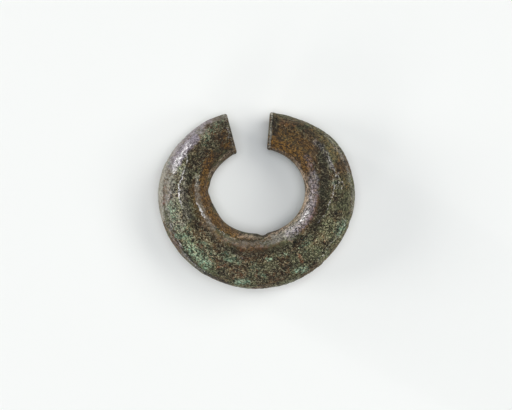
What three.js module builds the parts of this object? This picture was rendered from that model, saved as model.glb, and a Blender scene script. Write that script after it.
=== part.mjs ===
// A penannular earring: a crescent-shaped ring of copper alloy, open at the top, where the gap passes the
// ear lobe. A tapered core bar is bent round to the crescent. A front sheet and a back sheet are hammered
// over it. Their edges meet along the bore, and round the rim the back sheet is turned up into a hem that
// holds the front sheet's tucked margin. A flat disc closes each terminal.
// The ring lies on its back: +Z is the ring's axis, +Y points to the gap, and lengths are in millimetres.
import * as THREE from "three";

// The outline seen from the front: an ellipse that hangs lower below its centre than it rises above it
const overallWidth = 29;
const outlineRise = 12.2;
const outlineDrop = 14;

// The bore, an ellipse set a little above the outline's centre, which makes the crescent
const boreWidth = 14;
const boreHeight = 12.5;
const boreShiftRight = 0.1;
const boreShiftUp = 0.45;

// The gap between the outer faces of the end discs, and where its middle lies beside the centre line
const gapAtRim = 6.3;
const gapAtBore = 4.4;
const gapMiddleAtRim = -1.17;
const gapMiddleAtBore = -0.67;

// The body's depth from back to front, and how far its underside is worn flat
const depthAtMiddle = 7.6;
const depthAtEnds = 5.2;
const backWear = 0.15;

// The sheets, the discs and the clearance between any two pieces
const sheetThickness = 0.4;
const discThickness = 0.4;
const clearance = 0.08;

// The hem: how far its edge stands in from the rim, and how much of the front sheet is tucked under it
const hemWidth = 0.8;
const tuckWidth = 0.7;

// The groove along the front, from the roll beside the bore to the arris where the outer band begins
const grooveDepth = 0.7;
const grooveAtShare = 0.42;
const grooveReachToRollShare = 0.26;
const grooveReachToArrisShare = 0.15;
const arrisSharpness = 1.8;
const grooveFadedAtShare = 0.03;
const grooveFullFromShare = 0.2;
const grooveFullToShare = 0.84;

// Where hammering and wear left the two edges uneven: the middle and reach in degrees, and how far out
const rimBulge = 0.35;
const rimSwell = 0.3;
const rimFlat = 0.14;
const rimDents = [
  { middle: 40, reach: 28, out: rimBulge },
  { middle: 116, reach: 26, out: rimSwell },
  { middle: 322, reach: 32, out: -rimFlat },
];
const boreShoulder = 0.14;
const boreCorner = 0.18;
const boreFlat = 0.22;
const boreTear = 0.3;
const boreDents = [
  { middle: 136, reach: 30, out: -boreShoulder },
  { middle: 180, reach: 9, out: boreCorner },
  { middle: 206, reach: 24, out: -boreFlat },
  { middle: 276.5, reach: 8, out: boreTear },
];

// Overlapping hammer blows all over the sheets, in rows that drift, and how deep each sinks the surface.
// They fade towards the rim, the bore and the worn band that the ring lies on.
const blowDepth = 0.1;
const blowsRoundRing = 23;
const blowsRoundBody = 9;
const driftsRoundRing = 5;
const blowDrift = 1.2;
const edgeFadeShares = [0.1, 0.45];
const restFadeShares = [0.8, 0.95];

// The crest along the roll on the left: how far the surface falls away from it, and where
const crestDepth = 0.16;
const crestAtShare = 0.25;
const crestReachShare = 0.12;
const crestBeginShares = [0.62, 0.72];
const crestEndShares = [0.84, 0.92];
const crestFadeShares = [0.42, 0.57];

// Where the front's skin has flaked away: the middle and reach along the ring and across the body
const flakeDepth = 0.12;
const flakeShares = [
  { along: 0.865, across: 0.66, alongReach: 0.04, acrossReach: 0.15 },
  { along: 0.675, across: 0.76, alongReach: 0.035, acrossReach: 0.1 },
  { along: 0.453, across: 0.78, alongReach: 0.025, acrossReach: 0.09 },
];
const flakeFloorShare = 0.6;

// The body's section is a squarish oval, and its depth swells from the terminals to the middle
const sectionSquareness = 2.3;
const swellPower = 0.8;

// How finely the pieces are faceted
const stationCount = 70;
const tuckSteps = 1;
const bandSteps = 5;
const grooveSteps = 9;
const rollSteps = 5;
const backSteps = 14;
const hemSteps = 2;

const fullTurn = 2 * Math.PI;
const boreSeamTurn = Math.PI;

// A power that keeps the sign of its base
const signedPower = (base, power) => Math.sign(base) * Math.abs(base) ** power;

// 1 at a bump's middle and 0 from its reach outwards, rounded at the foot and the top
function bump(offset, reach) {
  const distance = Math.min(1, Math.abs(offset) / reach);
  return (1 + Math.cos(Math.PI * distance)) / 2;
}

// How far out the dents move an edge at an angle
function dented(dents, angle) {
  const turned = THREE.MathUtils.euclideanModulo(THREE.MathUtils.radToDeg(angle), 360);
  return dents.reduce((sum, dent) => sum + dent.out * bump(turned - dent.middle, dent.reach), 0);
}

// A point of the outline at an angle of its ellipse, anticlockwise from +X
function rimPoint(angle) {
  const height = Math.sin(angle) > 0 ? outlineRise : outlineDrop;
  const out = dented(rimDents, angle);
  return new THREE.Vector2((overallWidth / 2 + out) * Math.cos(angle), (height + out) * Math.sin(angle));
}

// A point of the bore's edge at an angle of its ellipse
function borePoint(angle) {
  const out = dented(boreDents, angle);
  return new THREE.Vector2(
    boreShiftRight + (boreWidth / 2 + out) * Math.cos(angle),
    boreShiftUp + (boreHeight / 2 + out) * Math.sin(angle),
  );
}

// The angles where the sheets end at each terminal: a disc and its clearance stand before the gap
const setback = discThickness + clearance;
const rightOfGapAtRim = gapMiddleAtRim + gapAtRim / 2 + setback;
const leftOfGapAtRim = gapMiddleAtRim - gapAtRim / 2 - setback;
const rightOfGapAtBore = gapMiddleAtBore + gapAtBore / 2 + setback;
const leftOfGapAtBore = gapMiddleAtBore - gapAtBore / 2 - setback;
const rimFrom = Math.acos(rightOfGapAtRim / (overallWidth / 2));
const rimTo = Math.acos(leftOfGapAtRim / (overallWidth / 2)) - fullTurn;
const boreFrom = Math.acos((rightOfGapAtBore - boreShiftRight) / (boreWidth / 2));
const boreTo = Math.acos((leftOfGapAtBore - boreShiftRight) / (boreWidth / 2)) - fullTurn;

// How much of the groove's depth there is at a share of the way round the ring
function grooveStrength(share) {
  const rise = THREE.MathUtils.smoothstep(share, grooveFadedAtShare, grooveFullFromShare);
  const fall = 1 - THREE.MathUtils.smoothstep(share, grooveFullToShare, 1 - grooveFadedAtShare);
  return rise * fall;
}

// The body's section at a share of the way from the right terminal round the bottom to the left one
function sectionAt(share) {
  const bore = borePoint(THREE.MathUtils.lerp(boreFrom, boreTo, share));
  const rim = rimPoint(THREE.MathUtils.lerp(rimFrom, rimTo, share));
  const swell = Math.max(0, Math.sin(Math.PI * share)) ** swellPower;
  return {
    share,
    bore,
    rim,
    width: bore.distanceTo(rim),
    depth: THREE.MathUtils.lerp(depthAtEnds, depthAtMiddle, swell),
    groove: grooveDepth * grooveStrength(share),
  };
}

// The turn on the front where the section's outer line is a share of the way from the bore to the rim
const frontTurnAt = (share) => Math.acos(signedPower(2 * share - 1, sectionSquareness / 2));

// The groove's depth beside its lowest line: soft towards the roll, and sharp where it meets the arris
function grooveProfile(offset) {
  const toArris = 1 - Math.min(1, Math.abs(offset) / grooveReachToArrisShare) ** arrisSharpness;
  return offset > 0 ? toArris : bump(offset, grooveReachToRollShare);
}

// Where a turn lies: the share of the way across the body, and the height, from -1 at the back to 1 in front
function placeOf(turn) {
  return {
    across: (1 + signedPower(Math.cos(turn), 2 / sectionSquareness)) / 2,
    height: signedPower(Math.sin(turn), 2 / sectionSquareness),
  };
}

// A point of the section's outer line: how far it lies from the bore towards the rim, and how high.
// The turn is 0 at the rim, a quarter at the front, a half at the bore and three quarters at the back.
function skinPoint(section, turn) {
  const { across, height } = placeOf(turn);
  const groove = height > 0 ? section.groove * grooveProfile(across - grooveAtShare) : 0;
  const up = (section.depth / 2) * (1 + height) - backWear - groove;
  return new THREE.Vector2(across * section.width, Math.max(0, up));
}

// The direction along the outer line at a turn, as long as what a radian of turn covers there
function skinDirection(section, turn) {
  const step = 0.02;
  const ahead = skinPoint(section, turn + step);
  return ahead.sub(skinPoint(section, turn - step)).divideScalar(2 * step);
}

// The turn reached from another by going a distance along the outer line
const turnBeyond = (section, turn, distance) => turn + distance / skinDirection(section, turn).length();

// How much of a blow's depth there is at a place
function blowStrength(share, turn, height) {
  const drift = blowDrift * Math.sin(fullTurn * driftsRoundRing * share + turn);
  const alongRing = Math.cos(fullTurn * blowsRoundRing * share + drift);
  const roundBody = Math.cos(blowsRoundBody * turn + drift);
  const offEdges = THREE.MathUtils.smoothstep(Math.abs(height), ...edgeFadeShares);
  const offRest = 1 - THREE.MathUtils.smoothstep(-height, ...restFadeShares);
  return ((1 + alongRing * roundBody) / 2) * offEdges * offRest;
}

// How much of the fall beside the crest there is: none on it, all of it from its reach outwards
function crestFall(share, across) {
  const begun = THREE.MathUtils.smoothstep(share, ...crestBeginShares);
  const ended = 1 - THREE.MathUtils.smoothstep(share, ...crestEndShares);
  const faded = 1 - THREE.MathUtils.smoothstep(across, ...crestFadeShares);
  return begun * ended * faded * Math.min(1, Math.abs(across - crestAtShare) / crestReachShare);
}

// How much of a flake's depth there is: all of it on its floor, and none beyond its reach
function flakeStrength(flake, share, across) {
  const alongAway = (share - flake.along) / flake.alongReach;
  const acrossAway = (across - flake.across) / flake.acrossReach;
  const away = Math.hypot(alongAway, acrossAway);
  return 1 - THREE.MathUtils.smoothstep(away, flakeFloorShare, 1);
}

// How far hammering and decay have sunk the surface at a turn
function sunkDepth(section, turn) {
  const { share } = section;
  const { across, height } = placeOf(turn);
  const blows = blowDepth * blowStrength(share, turn, height);
  const front = THREE.MathUtils.smoothstep(height, ...edgeFadeShares);
  const crest = crestDepth * crestFall(share, across);
  const flaked = flakeShares.reduce((sum, flake) => sum + flakeStrength(flake, share, across), 0);
  return blows + front * (crest + flakeDepth * flaked);
}

// A point at a depth under the sunken surface, in the ring's frame
function pointInside(section, turn, depth) {
  const along = skinDirection(section, turn).normalize();
  const inward = new THREE.Vector2(-along.y, along.x);
  const flat = skinPoint(section, turn).addScaledVector(inward, depth + sunkDepth(section, turn));
  const plan = section.bore.clone().lerp(section.rim, flat.x / section.width);
  return new THREE.Vector3(plan.x, plan.y, flat.y);
}

const pointsInside = (section, turns, depth) => turns.map((turn) => pointInside(section, turn, depth));

// Evenly spaced turns from one up to another, which is left out
function spread(from, to, steps) {
  return Array.from({ length: steps }, (_, i) => THREE.MathUtils.lerp(from, to, i / steps));
}

// The turns over the outer band, the groove and the roll, closest together in the groove
function frontTurns(from, to) {
  const arris = frontTurnAt(grooveAtShare + grooveReachToArrisShare);
  const roll = frontTurnAt(grooveAtShare - grooveReachToRollShare);
  const overBand = spread(from, arris, bandSteps);
  const overGroove = spread(arris, roll, grooveSteps);
  const overRoll = spread(roll, to, rollSteps);
  return [...overBand, ...overGroove, ...overRoll, to];
}

// The turns from the bore round the back and the rim, up to where the tucked margin begins
const backTurns = (at) => spread(at.boreBack, at.rebateEnd + fullTurn, backSteps);

// The turns from there over the rim to the hem's edge
const hemTurns = (at) => spread(at.rebateEnd + fullTurn, at.hem + fullTurn, hemSteps);

// The turns under the hem
const tuckTurns = (from, to) => [...spread(from, to, tuckSteps), to];

// The turns where the sheets' edges and the steps beside the hem lie
function seamTurns(section) {
  const hem = frontTurnAt(1 - hemWidth / section.width);
  return {
    hem,
    step: turnBeyond(section, hem, clearance),
    stepInside: turnBeyond(section, hem, clearance + sheetThickness),
    rebate: turnBeyond(section, hem, 2 * clearance + sheetThickness),
    tuckEnd: turnBeyond(section, hem, -tuckWidth),
    rebateEnd: turnBeyond(section, hem, -tuckWidth - clearance),
    boreFront: turnBeyond(section, boreSeamTurn, -clearance / 2),
    boreBack: turnBeyond(section, boreSeamTurn, clearance / 2),
  };
}

const underSheet = sheetThickness + clearance;

// The front sheet: from the bore over the roll, the groove and the band, then down a step under the hem
function frontSheetLoop(section) {
  const at = seamTurns(section);
  return [
    ...pointsInside(section, tuckTurns(at.tuckEnd, at.step), underSheet),
    ...pointsInside(section, frontTurns(at.step, at.boreFront), 0),
    ...pointsInside(section, frontTurns(at.stepInside, at.boreFront).reverse(), sheetThickness),
    ...pointsInside(section, tuckTurns(at.stepInside, at.tuckEnd), underSheet + sheetThickness),
  ];
}

// The back sheet: from the bore under the body, up round the rim and over to the hem's edge
function backSheetLoop(section) {
  const at = seamTurns(section);
  const turns = [...backTurns(at), ...hemTurns(at), at.hem + fullTurn];
  const outside = pointsInside(section, turns, 0);
  const inside = pointsInside(section, turns, sheetThickness);
  return [...outside, ...inside.reverse()];
}

// The core bar: what the sheets leave inside them, with a rebate under the tucked margin
function coreBarLoop(section) {
  const at = seamTurns(section);
  return [
    ...pointsInside(section, tuckTurns(at.rebateEnd, at.rebate), 2 * underSheet),
    ...pointsInside(section, frontTurns(at.rebate, at.boreFront), underSheet),
    ...pointsInside(section, [...backTurns(at), at.rebateEnd + fullTurn], underSheet),
  ];
}

// The whole outer line, which an end disc is cut to
function discLoop(section) {
  const at = seamTurns(section);
  return [
    ...pointsInside(section, frontTurns(at.hem, at.boreFront), 0),
    ...pointsInside(section, [...backTurns(at), ...hemTurns(at)], 0),
  ];
}

// The triangles that close a loop, found with the loop laid flat in its own plane
function capTriangles(loop, section) {
  const across = section.rim.clone().sub(section.bore).normalize();
  const flat = loop.map((p) => new THREE.Vector2(p.x * across.x + p.y * across.y, p.z));
  return THREE.ShapeUtils.triangulateShape(flat, []);
}

// A closed body that joins equal loops from the first to the last, with both ends capped
function loft(loops, firstSection, lastSection) {
  const size = loops[0].length;
  const lastRow = (loops.length - 1) * size;
  const index = [];
  for (let row = 0; row < lastRow; row += size) {
    for (let i = 0; i < size; i++) {
      const a = row + i;
      const b = row + ((i + 1) % size);
      index.push(a, b, a + size, b, b + size, a + size);
    }
  }
  for (const [a, b, c] of capTriangles(loops[0], firstSection)) {
    index.push(a, c, b);
  }
  for (const [a, b, c] of capTriangles(loops.at(-1), lastSection)) {
    index.push(lastRow + a, lastRow + b, lastRow + c);
  }
  const places = loops.flat().flatMap((p) => p.toArray());
  const geometry = new THREE.BufferGeometry();
  geometry.setAttribute("position", new THREE.Float32BufferAttribute(places, 3));
  geometry.setIndex(index);
  geometry.computeVertexNormals();
  return geometry;
}

// An end disc: the outer line moved clear of the sheets' ends, out into the gap
function endDisc(section, side) {
  const across = section.rim.clone().sub(section.bore).normalize();
  const outward = new THREE.Vector3(-across.y, across.x, 0).multiplyScalar(side);
  const moved = (distance) => discLoop(section).map((p) => p.addScaledVector(outward, distance));
  const faces = [moved(clearance), moved(clearance + discThickness)];
  if (side > 0) {
    faces.reverse();
  }
  return loft(faces, section, section);
}

const patinatedFront = new THREE.MeshStandardMaterial({ color: 0x5c5544, roughness: 0.62, metalness: 0.35 });
const patinatedBack = new THREE.MeshStandardMaterial({ color: 0x564a3a, roughness: 0.6, metalness: 0.35 });
const brownDisc = new THREE.MeshStandardMaterial({ color: 0x574431, roughness: 0.6, metalness: 0.35 });
const darkCore = new THREE.MeshStandardMaterial({ color: 0x33261c, roughness: 0.75, metalness: 0.2 });

function named(name, geometry, material) {
  const mesh = new THREE.Mesh(geometry, material);
  mesh.name = name;
  return mesh;
}

const sections = Array.from({ length: stationCount }, (_, i) => sectionAt(i / (stationCount - 1)));
const rightEnd = sections[0];
const leftEnd = sections.at(-1);
const sweep = (loopOf) => loft(sections.map(loopOf), rightEnd, leftEnd);

const ring = new THREE.Group();
ring.add(
  named("core_bar", sweep(coreBarLoop), darkCore),
  named("front_sheet", sweep(frontSheetLoop), patinatedFront),
  named("back_sheet", sweep(backSheetLoop), patinatedBack),
  named("right_end_disc", endDisc(rightEnd, 1), brownDisc),
  named("left_end_disc", endDisc(leftEnd, -1), brownDisc),
);

// The origin is under the middle of the ring's box, on the surface that it lies on
const box = new THREE.Box3().setFromObject(ring);
const middle = box.getCenter(new THREE.Vector3());
ring.position.set(-middle.x, -middle.y, -box.min.z);

const earring = new THREE.Group();
earring.add(ring);

export default earring;
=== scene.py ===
import math
from functools import partial

import bmesh
import bpy
import numpy as np
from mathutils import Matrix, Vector, noise


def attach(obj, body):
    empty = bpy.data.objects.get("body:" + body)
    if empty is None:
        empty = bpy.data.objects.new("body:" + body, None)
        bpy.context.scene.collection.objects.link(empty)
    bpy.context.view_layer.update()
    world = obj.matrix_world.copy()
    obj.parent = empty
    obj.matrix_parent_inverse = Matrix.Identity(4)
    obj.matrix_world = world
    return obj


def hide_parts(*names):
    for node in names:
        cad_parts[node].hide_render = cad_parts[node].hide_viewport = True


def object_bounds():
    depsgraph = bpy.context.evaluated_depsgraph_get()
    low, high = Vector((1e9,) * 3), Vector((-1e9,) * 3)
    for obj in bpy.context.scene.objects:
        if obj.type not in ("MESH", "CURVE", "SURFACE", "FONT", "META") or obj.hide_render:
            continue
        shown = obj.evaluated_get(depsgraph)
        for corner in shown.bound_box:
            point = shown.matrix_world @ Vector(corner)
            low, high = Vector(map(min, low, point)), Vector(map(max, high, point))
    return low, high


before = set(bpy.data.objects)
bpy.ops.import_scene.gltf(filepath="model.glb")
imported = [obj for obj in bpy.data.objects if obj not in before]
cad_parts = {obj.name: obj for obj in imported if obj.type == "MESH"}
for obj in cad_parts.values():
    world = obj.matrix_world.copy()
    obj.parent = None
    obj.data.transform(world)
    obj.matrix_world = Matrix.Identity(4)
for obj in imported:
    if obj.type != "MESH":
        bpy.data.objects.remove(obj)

mm = 0.001
cadLow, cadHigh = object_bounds()
print("frame loaded")

# Lengths are in millimetres, angles in degrees anticlockwise from the ring's right side as the camera sees it
ring = {
    "width": 29.0,
    "rise": 12.2,
    "drop": 14.0,
    "bore": (14.0, 12.5),
    "boreShift": (0.1, 0.45),
    "gapAtRim": (-3.15 - 1.17, 3.15 - 1.17),
    "gapAtBore": (-2.2 - 0.67, 2.2 - 0.67),
    "disc": 0.4,
    "clearance": 0.08,
    "depthAtMiddle": 7.6,
    "depthAtEnds": 5.2,
    "swell": 0.8,
    "squareness": 2.3,
    "backWear": 0.15,
    "hem": 0.8,
    "grooveDepth": 0.7,
    "grooveAt": 0.42,
    "rollReach": 0.26,
    "arrisReach": 0.15,
    "arrisSharpness": 1.8,
    "grooveFades": (0.03, 0.2, 0.84, 0.97),
    # where hammering left an edge uneven: the middle and reach as angles, and how far out
    "rimDents": [(40, 28, 0.35), (116, 26, 0.3), (322, 32, -0.14)],
    "boreDents": [(136, 30, -0.14), (180, 9, 0.18), (206, 24, -0.22), (276.5, 8, 0.3)],
}

# Where hammering and decay sank the surface: depths in millimetres, places as shares along the ring and
# across the body
sunken = {
    "blowDepth": 0.1,
    "blowsRoundRing": 23,
    "blowsRoundBody": 9,
    "drifts": 5,
    "drift": 1.2,
    "edgeFade": (0.1, 0.45),
    "restFade": (0.8, 0.95),
    "crestDepth": 0.16,
    "crestAt": 0.25,
    "crestReach": 0.12,
    "crestBegins": (0.62, 0.72),
    "crestEnds": (0.84, 0.92),
    "crestFades": (0.42, 0.57),
    "flakeDepth": 0.12,
    "flakeFloor": 0.6,
    "flakes": [(0.865, 0.66, 0.04, 0.15), (0.675, 0.76, 0.035, 0.1), (0.453, 0.78, 0.025, 0.09)],
}


def fromHex(code):
    # an sRGB hex colour as the linear one that Blender's sockets take
    parts = [int(code[at:at + 2], 16) / 255 for at in (1, 3, 5)]
    linear = [part / 12.92 if part <= 0.04045 else ((part + 0.055) / 1.055) ** 2.4 for part in parts]
    return (*linear, 1.0)


def addNode(tree, kind, inputs=(), **settings):
    # adds a node, sets it up, fills or links its inputs and gives back its outputs
    node = tree.nodes.new(kind)
    for name, value in settings.items():
        setattr(node, name, value)
    for key, value in inputs.items() if isinstance(inputs, dict) else enumerate(inputs):
        if isinstance(value, bpy.types.NodeSocket):
            tree.links.new(value, node.inputs[key])
        else:
            node.inputs[key].default_value = value
    return node.outputs


def inScene(name, data):
    made = bpy.data.objects.new(name, data)
    bpy.context.scene.collection.objects.link(made)
    return made


def smooth(given, low, high):
    # from 0 at low to 1 at high, in an even curve
    share = np.clip((given - low) / (high - low), 0, 1)
    return share * share * (3 - 2 * share)


def dented(dents, angle):
    # how far out an edge's dents move it, at each angle
    turned = np.degrees(angle) % 360
    total = np.zeros_like(turned)
    for middle, reach, out in dents:
        total += out * (1 + np.cos(np.pi * np.minimum(1, np.abs(turned - middle) / reach))) / 2
    return total


def signedPower(base, power):
    return np.sign(base) * np.abs(base) ** power


def stationsAt(share):
    # the body's sections at shares of the way from the right terminal round the bottom to the left one
    half = ring["width"] / 2
    boreHalf, boreRise = ring["bore"][0] / 2, ring["bore"][1] / 2
    shiftRight, shiftUp = ring["boreShift"]
    leftRim, rightRim = ring["gapAtRim"]
    leftBore, rightBore = ring["gapAtBore"]
    back = ring["disc"] + ring["clearance"]
    rimFrom = math.acos((rightRim + back) / half)
    rimTo = math.acos((leftRim - back) / half) - 2 * math.pi
    boreFrom = math.acos((rightBore + back - shiftRight) / boreHalf)
    boreTo = math.acos((leftBore - back - shiftRight) / boreHalf) - 2 * math.pi
    rimAngle = rimFrom + (rimTo - rimFrom) * share
    boreAngle = boreFrom + (boreTo - boreFrom) * share
    rimOut, boreOut = dented(ring["rimDents"], rimAngle), dented(ring["boreDents"], boreAngle)
    rise = np.where(np.sin(rimAngle) > 0, ring["rise"], ring["drop"]) + rimOut
    rim = np.stack([(half + rimOut) * np.cos(rimAngle), rise * np.sin(rimAngle)], 1)
    bore = np.stack([
        shiftRight + (boreHalf + boreOut) * np.cos(boreAngle),
        shiftUp + (boreRise + boreOut) * np.sin(boreAngle),
    ], 1)
    width = np.linalg.norm(rim - bore, axis=1)
    swell = np.maximum(0, np.sin(np.pi * share)) ** ring["swell"]
    begins, full, falls, ends = ring["grooveFades"]
    return {
        "share": share,
        "bore": bore,
        "rim": rim,
        "width": width,
        "depth": ring["depthAtEnds"] + (ring["depthAtMiddle"] - ring["depthAtEnds"]) * swell,
        "groove": ring["grooveDepth"] * smooth(share, begins, full) * (1 - smooth(share, falls, ends)),
        "hemTurn": np.arccos(signedPower(1 - 2 * ring["hem"] / width, ring["squareness"] / 2)),
    }


# the frame's box touches the rim at the left and at the bottom, which puts the stations in place
toFrame = np.array([cadLow.x, cadLow.y]) / mm - stationsAt(np.linspace(0, 1, 2000))["rim"].min(0)


def onLine(places, fields):
    # a mesh of loose points with named values on them, for a tree to read
    mesh = bpy.data.meshes.new("guide")
    mesh.from_pydata([tuple(place) for place in places], [], [])
    for name, given in fields.items():
        given = np.asarray(given, np.float32)
        kind, field = ("FLOAT_VECTOR", "vector") if given.ndim == 2 else ("FLOAT", "value")
        mesh.attributes.new(name, kind, "POINT").data.foreach_set(field, given.ravel())
    return inScene("guide", mesh)


def stationGuide(stations, turnFrom, turnTo, turnTuck=None, lifted=0.0, moved=0.0):
    # lifted lies under the outer line and moved is along the ring, both in millimetres for each station
    count = len(stations["share"])
    across = stations["rim"] - stations["bore"]
    across /= np.linalg.norm(across, axis=1)[:, None]
    offset = np.stack([-across[:, 1], across[:, 0]], 1) * np.broadcast_to(moved, count)[:, None]
    offset += toFrame
    bore, rim = (np.column_stack([stations[line] + offset, np.zeros(count)]) * mm for line in ("bore", "rim"))
    fields = {
        "bore": bore,
        "rim": rim,
        "width": stations["width"] * mm,
        "depth": stations["depth"] * mm,
        "groove": stations["groove"] * mm,
        "along": stations["share"],
        "turnFrom": np.broadcast_to(turnFrom, count),
        "turnTo": np.broadcast_to(turnTo, count),
        "turnTuck": np.broadcast_to(turnFrom if turnTuck is None else turnTuck, count),
        "under": np.broadcast_to(lifted, count) * mm,
    }
    return onLine(bore, fields)


def sectionGuide(points):
    # the section's closed loop: the share of the turn, how deep under the outer line, how much is exposed
    where, sunk, exposed = np.array([*points, points[0]]).T
    flat = np.column_stack([where, sunk, np.zeros(len(where))])
    return onLine(flat, {"where": where, "sunk": sunk * mm, "exposed": exposed})


def marked(place, size, detail=2.0, roughness=0.5, curl=0.0):
    # what a noise takes in for marks of a size in millimetres
    often = 1 / (size * mm)
    return {"Vector": place, "Scale": often, "Detail": detail, "Roughness": roughness, "Distortion": curl}


def newTree(name, inputs, outputs):
    tree = bpy.data.node_groups.new(name, "GeometryNodeTree")
    for label, kind, value in inputs:
        socket = tree.interface.new_socket(label, in_out="INPUT", socket_type="NodeSocket" + kind)
        if value is not None:
            socket.default_value = value
    for label, kind in outputs:
        tree.interface.new_socket(label, in_out="OUTPUT", socket_type="NodeSocket" + kind)
    add = partial(addNode, tree)
    return tree, add("NodeGroupInput"), add


def finishTree(add, shape, material):
    shape = add("GeometryNodeRealizeInstances", {"Geometry": shape})[0]
    shape = add("GeometryNodeSetMaterial", {"Geometry": shape, "Material": material})[0]
    add("NodeGroupOutput", (shape,))


def outerLineTree():
    # where the body's outer line lies at a turn: 0 at the rim, a quarter at the front, a half at the bore
    tree, given, add = newTree("outerLine", [
        *[(label, "Float", None) for label in ("Turn", "Width", "Depth", "Groove")],
        ("Squareness", "Float", ring["squareness"]),
        ("Groove At", "Float", ring["grooveAt"]),
        ("Roll Reach", "Float", ring["rollReach"]),
        ("Arris Reach", "Float", ring["arrisReach"]),
        ("Arris Sharpness", "Float", ring["arrisSharpness"]),
        ("Back Wear", "Float", ring["backWear"] * mm),
    ], [("Place", "Vector"), ("Share", "Float"), ("Height", "Float")])
    power = add("ShaderNodeMath", (2.0, given["Squareness"]), operation="DIVIDE")[0]
    squared = []
    for wave in ("COSINE", "SINE"):
        plain = add("ShaderNodeMath", (given["Turn"],), operation=wave)[0]
        size = add("ShaderNodeMath", (plain,), operation="ABSOLUTE")[0]
        bulged = add("ShaderNodeMath", (size, power), operation="POWER")[0]
        side = add("ShaderNodeMath", (plain,), operation="SIGN")[0]
        squared.append(add("ShaderNodeMath", (bulged, side), operation="MULTIPLY")[0])
    share = add("ShaderNodeMath", (squared[0], 0.5, 0.5), operation="MULTIPLY_ADD")[0]
    height = squared[1]
    # the groove falls in a soft wave from the roll and in a sharper bend from the arris
    past = add("ShaderNodeMath", (share, given["Groove At"]), operation="SUBTRACT")[0]
    away = add("ShaderNodeMath", (past,), operation="ABSOLUTE")[0]
    toRoll = add("ShaderNodeMapRange", (away, 0.0, given["Roll Reach"], 1.0, 0.0),
                 interpolation_type="SMOOTHSTEP")[0]
    bend = add("ShaderNodeMapRange", (away, 0.0, given["Arris Reach"], 0.0, 1.0))[0]
    bent = add("ShaderNodeMath", (bend, given["Arris Sharpness"]), operation="POWER")[0]
    toArris = add("ShaderNodeMath", (1.0, bent), operation="SUBTRACT")[0]
    outer = add("ShaderNodeMath", (past, 0.0), operation="GREATER_THAN")[0]
    profile = add("ShaderNodeMix", {0: outer, 2: toRoll, 3: toArris})[0]
    front = add("ShaderNodeMath", (height, 0.0), operation="GREATER_THAN")[0]
    onFront = add("ShaderNodeMath", (profile, front), operation="MULTIPLY")[0]
    lower = add("ShaderNodeMath", (onFront, given["Groove"], given["Back Wear"]),
                operation="MULTIPLY_ADD")[0]
    level = add("ShaderNodeMath", (height, 0.5, 0.5), operation="MULTIPLY_ADD")[0]
    full = add("ShaderNodeMath", (level, given["Depth"]), operation="MULTIPLY")[0]
    worn = add("ShaderNodeMath", (full, lower), operation="SUBTRACT")[0]
    up = add("ShaderNodeMath", (worn, 0.0), operation="MAXIMUM")[0]
    across = add("ShaderNodeMath", (share, given["Width"]), operation="MULTIPLY")[0]
    place = add("ShaderNodeCombineXYZ", (across, up, 0.0))[0]
    add("NodeGroupOutput", (place, share, height))
    return tree


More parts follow.
